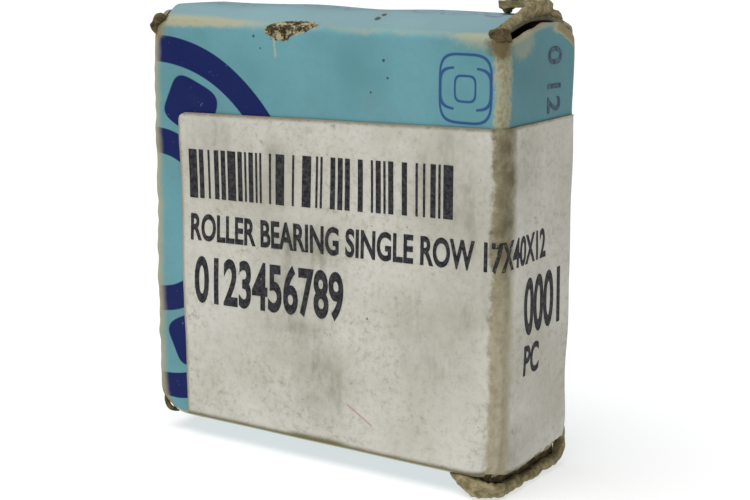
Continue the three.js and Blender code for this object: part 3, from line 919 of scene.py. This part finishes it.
def make_lid(side, name):
    """An end lid: its crease on the front panel, the lid, the fold at its back and the tuck flap."""
    lid, tuck = "lid_" + name, "tuck_" + name
    bend, bend_end = LID_END - CREASE, LID_END + CREASE
    middle = HEIGHT / 2

    def bend_low(s):
        return lid_bottom(s) + (TUCK[0][2] - lid_bottom(s)) * ramp(np.abs(s), bend, bend_end)

    def bend_high(s):
        return lid_top(s) + (TUCK[1][2] - lid_top(s)) * ramp(np.abs(s), bend, bend_end)

    crease = strip("crease_" + name, side, FRONT_END, LID_START, level(0.35, 0.08, 51),
                   level(HEIGHT - 0.2, 0.06, 52), on_belt, 0.16, 0.42)
    fold_piece(crease, (side * (FRONT_END + 0.05), FRONT_Y, middle),
               (side * HALF_X, FRONT_Y + CREASE, middle))
    face = strip("lid_board_" + name, side, LID_START, bend, lid_bottom, lid_top, on_belt, 0.3)
    ride(face, lid, "carton_print", "end_lid_" + name)
    fold = strip("tuck_crease_" + name, side, bend, bend_end, bend_low, bend_high, on_belt, 0.2, 0.45)
    fold_piece(fold, (side * HALF_X, TUCK_BACK - CREASE, middle),
               (side * (HALF_X - CREASE), TUCK_BACK, middle))
    flap = strip("tuck_board_" + name, side, bend_end, TUCK_END, lambda s: TUCK[0][2] + tuck_corner(s),
                 lambda s: TUCK[1][2] - tuck_corner(s), on_belt, 0.5)
    ride(flap, tuck, "carton_print", "tuck_flap_" + name)


def make_dust_flap(side, name, top):
    word = name + ("_top" if top else "_bottom")
    place = dust_place(side, top)
    low, high = sorted(HEIGHT + y - FRONT_Y if top else FRONT_Y - y for y in (DUST[0][1], DUST[1][1]))
    bend_end = DUST_X + DUST_BEND

    def taper(s):
        out = np.abs(s)
        return ramp(out, bend_end, DUST_TIP) * 0.6 + rounding(out - (DUST_TIP - DUST_CORNER), DUST_CORNER)

    bend = strip("dust_crease_" + word, side, WALL_END, bend_end, level(low), level(high), place, 0.2, 0.45)
    wall_z = HEIGHT if top else 0
    fold_piece(bend, (side * (WALL_END + 0.1), 0, wall_z),
               (side * DUST_X, 0, wall_z + (-DUST_BEND if top else DUST_BEND)))
    flap = strip("dust_board_" + word, side, bend_end, DUST_TIP, lambda s: low + taper(s),
                 lambda s: high - taper(s), place, 0.5)
    ride(flap, "dust_" + word, "carton_print", "dust_flap_" + word)


def make_torn_flap():
    """The right top dust flap: torn short, split in its plies and curled back over the top."""
    root_x, root_z = WALL_END - 0.2, HEIGHT - 0.1

    def curl(s, t, depth):
        """s is the way up the curl from its root, t the place from front to back."""
        widen = ramp(t, DUST[0][1] - 1, 1.5)
        radius = 0.42 + 0.5 * widen
        angle = np.clip(s / radius, 0, 3.26)
        over = s - angle * radius
        lift = crumple(np.stack([np.full_like(t, WALL_END), t, np.full_like(t, HEIGHT)], 1))[:, 2] - HEIGHT
        x = root_x + (radius - depth) * np.sin(angle) + over * np.cos(angle)
        z = root_z + lift + radius - (radius - depth) * np.cos(angle) + over * np.sin(angle)
        rough = ripple(s * 1.5, t, 1.7, 61)
        return np.stack([x + 0.1 * rough, t + 0.06 * rough, z + 0.1 * ripple(s, t * 1.4, 1.6, 62)], 1)

    def torn_edge(t):
        grow = ramp(t, -0.8, 0.6) * (1 - ramp(t, 2.4, 3.6))
        stub = 1.3 + 0.5 * ramp(t, -6, 0) - 1.3 * ramp(t, 2.2, 3.4)
        return stub + 4.9 * grow + (0.12 + 0.3 * grow) * ripple(t, t * 0.3, 1.7, 63)

    front, back = level(DUST[0][1] - 0.3, 0.1, 65), level(DUST[1][1] + 1.0, 0.15, 66)
    flap = panel("torn_flap", level(0), torn_edge, front, back, curl, [TORN, TORN], step=0.15, thickness=0.7)
    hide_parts("dust_flap_right_top")
    low, high = (root_x, 0, HEIGHT + 0.3), (root_x, 0, HEIGHT + 2.4)
    fold_piece(flap, low, high)
    origin = (root_x, 0, root_z)
    root = [(0.3, -6.9, 0.0), (0.3, -5.4, 0.6), (0.3, -3.4, 1.35), (0.3, -1.2, 2.05), (0.3, 0.9, 2.55)]
    roll = sweep("torn_root_roll", origin, root, (0.4, 0.5, 0.48, 0.56, 0.5), TORN, 71, 0.12)
    fold_piece(roll, low, high)
    lip = [(0.3, 0.2, 2.4), (0.5, 1.2, 2.9), (-0.3, 1.8, 3.55), (-1.9, 2.1, 3.5), (-3.2, 2.3, 2.75),
           (-4.1, 2.7, 2.0), (-4.0, 3.6, 1.75)]
    roll = sweep("torn_lip_roll", origin, lip, (0.4, 0.55, 0.5, 0.5, 0.52, 0.48, 0.3), TORN, 73, 0.14)
    ride(roll, "dust_right_top", "carton_raw")


# Corners crushed down to their fibres: name, corner, line from it, radii, seed, lumps, stretch.
BRUISES = (
    ("top_right", (HALF_X, FRONT_Y, HEIGHT),
     ((-2.4, 1.0, 0.15), (-1.5, 0.95, 0.05), (-0.95, 1.05, -0.25), (-0.85, 1.6, -0.9)),
     (0.4, 0.6, 0.66, 0.5), 81, 0.38, 1.0),
    ("top_left", (-HALF_X, FRONT_Y, HEIGHT),
     ((1.3, 0.35, 0.2), (0.4, 0.25, 0.1), (-0.15, 0.2, -0.7), (0.1, 0.3, -1.8)),
     (0.3, 0.55, 0.66, 0.25), 83, 0.16, 0.75),
    ("bottom_left", (-HALF_X, FRONT_Y, 0),
     ((0.5, 0.3, 2.6), (0.35, 0.35, 1.3), (0.9, 0.4, 0.45), (2.2, 0.35, 0.25)),
     (0.15, 0.27, 0.28, 0.15), 85, 0.12, 1.0),
)


def make_bruises():
    for name, corner, line, radii, seed, lumps, stretch in BRUISES:
        roll = sweep("bruise_" + name, corner, line, radii, BRUISED, seed, lumps, stretch)
        ride(roll, "carton", "carton_raw")


def make_crushed_base():
    """Rolled and split board under the right end, which the carton stands on."""
    outer = [(-5.6, 0.5, 0.1), (-4.2, 0.4, -0.3), (-2.4, 0.35, -0.75), (-0.8, 0.6, -1.0), (-0.5, 2.2, -1.12),
             (-0.45, 5.0, -1.15), (-0.45, 8.5, -1.12), (-0.45, 11.8, -1.0), (-0.45, 13.7, -0.85),
             (-0.5, 14.5, 0.35), (-0.4, 14.55, 3.2)]
    sizes = (0.3, 0.62, 0.82, 0.8, 0.66, 0.62, 0.58, 0.52, 0.55, 0.62, 0.25)
    roll = sweep("crushed_base_roll", (HALF_X, FRONT_Y, 0), outer, sizes, TORN, 91, 0.17)
    ride(roll, "carton", "carton_raw")

    def skirt_low(s):
        return -1.2 + 0.1 * ripple(s, s * 0.3, 1.6, 95)

    def skirt_place(s, t, depth):
        points = on_belt(s, np.maximum(t, 0.3), depth)
        points[:, 2] += t - np.maximum(t, 0.3)
        return points

    skirt = panel("crushed_base_skirt", level(HALF_X - 4.6), level(LID_END + 1.2), skirt_low,
                  lambda s: 1.5 + 0.9 * ramp(s, LID_END - 3.5, LID_END), skirt_place, [BRUISED, BRUISED],
                  step=0.2, thickness=0.5, lift=-0.62)
    ride(skirt, "carton", "carton_raw")


# ---- Label ----
def label_top(s):
    fall = math.tan(LABEL_TILT) * (HALF_X - s) * ramp(HALF_X - s, -1, 1)
    return LABEL_TOP - fall + 0.012 * (s - HALF_X) * ramp(s, HALF_X, HALF_X + 4)


def label_left(t):
    corner = rounding(t - (label_top(np.array(LABEL_LEFT)) - 1.0), 1.0)
    lean = (LABEL_TOP - t) * math.tan(LABEL_TILT) * 0.75
    return LABEL_LEFT + lean + corner + 0.03 * ripple(t, t * 0.2, 5, 101)


def label_bottom(s):
    past = s - HALF_X
    edge = LABEL_LOW - 0.25 * ramp(past, -3, 0)
    ragged = 0.16 * ripple(s, s * 0.3, 1.3, 103) + 0.08 * ripple(s, s, 0.5, 104)
    return edge + ramp(past, 1, 4) * (0.35 + 0.13 * (past - 4) * ramp(past, 4, 8) + ragged)


def label_right(t):
    return LID_END - 0.25 + 0.05 * ripple(t, t * 0.3, 4, 105) - 0.5 * ramp(4 - t, 0, 4)


def make_label():
    sheet = panel("label_sheet", label_left, label_right, label_bottom, label_top, on_belt,
                  [PAPER_SHEET, PAPER_SHEET], step=0.3, thickness=0.1, lift=0.17)
    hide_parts("label_front", "label_end")
    fold_label(sheet)


def fold_label(piece):
    fold_piece(piece, (FRONT_END + 0.05, FRONT_Y, HEIGHT / 2),
               (HALF_X, FRONT_Y + CREASE, HEIGHT / 2))


def cut_to_cells(mesh, cell):
    """Cuts a flat mesh along a square net, so that it can follow a curved face."""
    for axis in (0, 1):
        places = [v.co[axis] for v in mesh.verts]
        normal = Vector((1 - axis, axis, 0))
        for k in range(math.floor(min(places) / cell), math.ceil(max(places) / cell) + 1):
            every = mesh.verts[:] + mesh.edges[:] + mesh.faces[:]
            bmesh.ops.bisect_plane(mesh, geom=every, plane_co=normal * k * cell, plane_no=normal)


def glyphs(text, left, base, height, width, bold, tilt=0.0, turn=0.0):
    """Flat letters as (s, t, faces). The text starts at left and base. height is a capital's, width the
    whole line's, tilt its rise and turn its angle."""
    curve = bpy.data.curves.new("glyphs", "FONT")
    curve.body = text
    curve.offset = bold
    curve.resolution_u = 5
    holder = add_object("glyphs", curve)
    bpy.context.view_layer.update()
    made = bpy.data.meshes.new_from_object(holder.evaluated_get(bpy.context.evaluated_depsgraph_get()))
    bpy.data.objects.remove(holder)
    mesh = bmesh.new()
    mesh.from_mesh(made)
    bmesh.ops.remove_doubles(mesh, verts=mesh.verts, dist=1e-5)
    low_x = min(v.co.x for v in mesh.verts)
    high_x = max(v.co.x for v in mesh.verts)
    high_y = max(v.co.y for v in mesh.verts)
    for v in mesh.verts:
        across = (v.co.x - low_x) / (high_x - low_x) * width
        up = v.co.y / high_y * height
        s = across * math.cos(turn) - up * math.sin(turn)
        t = across * math.sin(turn) + up * math.cos(turn)
        v.co = Vector((left + s, base + t + tilt * across, 0))
    cut_to_cells(mesh, 0.6)
    mesh.verts.index_update()
    s = np.array([v.co.x for v in mesh.verts])
    t = np.array([v.co.y for v in mesh.verts])
    faces = []
    for face in mesh.faces:
        loop = tuple(v.index for v in face.verts)
        faces.append(loop if face.normal.z > 0 else loop[::-1])
    mesh.free()
    return s, t, faces


INK_LIFT = 0.2                    # how far the label's ink stands out from the carton's face
TEXT_RISE = math.tan(math.radians(1.55))
TEXT_LEFT = LABEL_LEFT + 1.5
COUNT_LEFT = HALF_X + 4.6         # where the words on the label's end begin


def ink_piece(name, s, t, faces):
    piece = slab(name, s, t, faces, on_belt, -INK_LIFT, 0.05 - INK_LIFT, [LABEL_INK, LABEL_INK])
    fold_label(piece)


def make_barcode():
    """Bars of random widths between the code's two ends."""
    chance = np.random.default_rng(29)
    left, right, low, tall = LABEL_LEFT + 1.4, 16.0, 24.9, 5.3
    rows, columns = 12, 3
    s_all, t_all, faces = [], [], []
    at = left
    while at < right:
        wide = float(chance.choice((0.26, 0.26, 0.6, 0.6, 1.1)))
        gap = float(chance.choice((0.3, 0.32, 0.6, 1.0)))
        base = low + (at - left) * TEXT_RISE * 1.2
        start = len(s_all)
        for i in range(rows):
            for j in range(columns):
                s_all.append(at + wide * j / (columns - 1))
                t_all.append(base + tall * i / (rows - 1))
        faces += [tuple(start + v for v in face) for face in grid_faces(columns, rows)]
        at += wide + gap
    ink_piece("label_barcode", s_all, t_all, faces)


# The label's words: name, text, left end, base, height of a capital, width of the line.
TEXT_ROWS = (
    ("size", "ROLLER BEARING SINGLE ROW 17X40X12", TEXT_LEFT, 20.35, 2.85, 47.4),
    ("number", "0123456789", TEXT_LEFT + 0.6, 13.6, 5.05, 19.7),
    ("count", "0001", COUNT_LEFT, 14.3, 5.6, 7.4),
    ("unit", "PC", COUNT_LEFT, 10.1, 3.0, 3.2),
)


def make_text():
    for name, text, left, base, height, width in TEXT_ROWS:
        ink_piece("label_text_" + name, *glyphs(text, left, base, height, width, 0.028, tilt=TEXT_RISE))
    stamp_flat = glyphs("0 12", LID_END - 5.3, HEIGHT - 2.7, 2.7, 5.4, 0.01, turn=-math.pi / 2)
    stamp = slab("lid_stamp", *stamp_flat, on_belt, -0.06, -0.02, [STAMP_INK, STAMP_INK])
    ride(stamp, "lid_right", "carton_print")


# ---- Bearing ----
BEARING = centre_of("outer_ring")
RING = node_box("outer_ring")
INNER = node_box("inner_ring")


def lathe(name, profile, centre, material, sides):
    """A turned piece about an axis along Y through centre. profile is (radius, along) pairs, closed."""
    profile = np.array(profile)
    count = len(profile)
    travelled = np.concatenate([[0], np.cumsum(np.hypot(*np.diff(profile, axis=0).T))])
    points, flat, faces = [], [], []
    for i in range(sides):
        angle = math.tau * i / sides
        for (radius, at), way in zip(profile, travelled):
            points.append(centre + np.array((radius * math.cos(angle), at, radius * math.sin(angle))))
            flat.append((radius * angle, way, at))
        k = (i + 1) % sides
        for j in range(count):
            n = (j + 1) % count
            if profile[j][0] > 1e-6 or profile[n][0] > 1e-6:
                faces.append((i * count + j, i * count + n, k * count + n, k * count + j))
    return write_mesh(name, points, faces, flat, [material], sharp=32, merge=1e-7)


def fillet(profile, corner, radius, first, second, steps=5):
    """Adds a rounded corner to a profile. first and second are the ways in and out of it."""
    for step in range(steps + 1):
        angle = step / steps * math.pi / 2
        back, on = radius * (1 - math.sin(angle)), radius * (1 - math.cos(angle))
        profile.append(tuple(np.array(corner) - np.array(first) * back + np.array(second) * on))


OUT, IN, ON, BACK = (1, 0), (-1, 0), (0, 1), (0, -1)      # ways along a profile
BORE_RADIUS = 8.5
ROLLER_RADIUS = 3.25
FLANGE_HEIGHT = 1.35
CHANNEL = 3.3                     # half the width between the outer ring's flanges
EDGE, SMALL_EDGE = 0.6, 0.3       # roundings of the rings' edges


def make_rings():
    half = (RING[1][1] - RING[0][1]) / 2
    outside = (RING[1][0] - RING[0][0]) / 2
    inner_out = (INNER[1][0] - INNER[0][0]) / 2
    race = inner_out + 2 * ROLLER_RADIUS
    flange = race - FLANGE_HEIGHT
    relief = race - 0.02
    profile = []
    fillet(profile, (outside, -half), EDGE, OUT, ON)
    fillet(profile, (outside, half), EDGE, ON, IN)
    fillet(profile, (flange, half), SMALL_EDGE, IN, BACK)
    fillet(profile, (flange, CHANNEL), 0.12, BACK, OUT)
    profile += [(relief, CHANNEL), (relief, CHANNEL - 0.1), (race, CHANNEL - 0.4)]
    profile += [(race, -CHANNEL + 0.4), (relief, -CHANNEL + 0.1), (relief, -CHANNEL)]
    fillet(profile, (flange, -CHANNEL), 0.12, IN, BACK)
    fillet(profile, (flange, -half), SMALL_EDGE, BACK, OUT)
    turned = lathe("outer_ring_turned", profile, BEARING, RING_STEEL, 144)
    ride(turned, "outer_ring", "ring_steel", "outer_ring")
    profile = []
    fillet(profile, (inner_out, -half), SMALL_EDGE, OUT, ON)
    fillet(profile, (inner_out, half), SMALL_EDGE, ON, IN)
    fillet(profile, (BORE_RADIUS, half), EDGE, IN, BACK)
    fillet(profile, (BORE_RADIUS, -half), EDGE, BACK, OUT)
    turned = lathe("inner_ring_turned", profile, BEARING, RING_STEEL, 120)
    ride(turned, "inner_ring", "ring_steel", "inner_ring")


def make_rollers():
    dish, rounded = 0.05, 0.35
    for name in sorted(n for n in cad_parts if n.startswith("roller_")):
        low, high = node_box(name)
        radius, half = (high[0] - low[0]) / 2, (high[1] - low[1]) / 2
        profile = [(0, dish - half), (radius * 0.45, dish - half), (radius * 0.5, -half)]
        fillet(profile, (radius, -half), rounded, OUT, ON)
        fillet(profile, (radius, half), rounded, ON, IN)
        profile += [(radius * 0.5, half), (radius * 0.45, half - dish), (0, half - dish)]
        turned = lathe(name + "_turned", profile, (low + high) / 2, ROLLER_STEEL, 48)
        ride(turned, name, "roller_steel", name)


def make_cage():
    """The frame's own cage, with its edges softened."""
    copy = bmesh.new()
    copy.from_mesh(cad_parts["cage"].data)
    bmesh.ops.remove_doubles(copy, verts=copy.verts, dist=2e-6)
    bmesh.ops.dissolve_limit(copy, angle_limit=math.radians(1.5), verts=copy.verts, edges=copy.edges)
    bmesh.ops.recalc_face_normals(copy, faces=copy.faces)
    made = bpy.data.meshes.new("cage_moulded")
    copy.to_mesh(made)
    copy.free()
    made.materials.clear()
    made.materials.append(CAGE_POLYMER)
    write_flat(made, [v.co / MM for v in made.vertices])
    smooth(made, 35)
    piece = add_object("cage_moulded", made)
    bevel = piece.modifiers.new("soft_edges", "BEVEL")
    bevel.width = 0.12 * MM
    bevel.segments = 2
    bevel.limit_method = "ANGLE"
    bevel.angle_limit = math.radians(35)
    ride(piece, "cage", "cage_polymer", "cage")


# ---- Studio ----
def make_camera():
    data = bpy.data.cameras.new("camera")
    data.sensor_width = 36
    data.lens = 77.1
    camera = add_object("camera", data)
    camera.location = Vector((95.2, -139.2, 53.7)) * MM
    yaw, pitch, roll = math.radians(33.78), math.radians(-11.36), math.radians(-0.44)
    way = Vector((-math.sin(yaw) * math.cos(pitch), math.cos(yaw) * math.cos(pitch), math.sin(pitch)))
    camera.rotation_mode = "QUATERNION"
    level_view = way.to_track_quat("-Z", "Y")
    camera.rotation_quaternion = level_view @ Euler((0, 0, -roll)).to_quaternion()
    data.clip_start, data.clip_end = 0.005, 20
    bpy.context.scene.camera = camera


def make_floor(lowest):
    mesh = bpy.data.meshes.new("floor")
    reach = 4.0
    corners = [(x * reach, y * reach, lowest) for x, y in ((-1, -1), (1, -1), (1, 1), (-1, 1))]
    mesh.from_pydata(corners, [], [(0, 1, 2, 3)])
    material = bpy.data.materials.new("pale_floor")
    material.use_nodes = True
    shader = material.node_tree.nodes["Principled BSDF"]
    shader.inputs["Base Color"].default_value = (0.42, 0.42, 0.42, 1)
    shader.inputs["Roughness"].default_value = 0.9
    shader.inputs["Specular IOR Level"].default_value = 0.0
    shader.inputs["Emission Color"].default_value = (1, 1, 1, 1)
    shader.inputs["Emission Strength"].default_value = 0.62
    mesh.materials.append(material)
    add_object("floor", mesh)


def make_light():
    """A soft overhead key and an even pale room."""
    world = bpy.data.worlds.new("studio")
    world.use_nodes = True
    world.node_tree.nodes["Background"].inputs["Color"].default_value = (1, 1, 1, 1)
    world.node_tree.nodes["Background"].inputs["Strength"].default_value = 0.25
    bpy.context.scene.world = world
    data = bpy.data.lights.new("key", "SUN")
    data.energy = 2.6
    data.angle = math.radians(50)
    lamp = add_object("key", data)
    lamp.rotation_mode = "QUATERNION"
    lamp.rotation_quaternion = Vector((0.15, 0.3, -1.0)).to_track_quat("-Z", "Y")
    view = bpy.context.scene.view_settings
    view.view_transform = "Standard"
    view.look = "None"


make_camera()
make_light()
make_sleeve()
for lid_side, lid_name in ((1, "right"), (-1, "left")):
    make_lid(lid_side, lid_name)
for flap_side, flap_name, flap_top in ((1, "right", False), (-1, "left", False), (-1, "left", True)):
    make_dust_flap(flap_side, flap_name, flap_top)
make_torn_flap()
make_bruises()
make_crushed_base()
make_label()
make_barcode()
make_text()
make_rings()
make_rollers()
make_cage()
visual_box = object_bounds()
make_floor(visual_box[0].z)
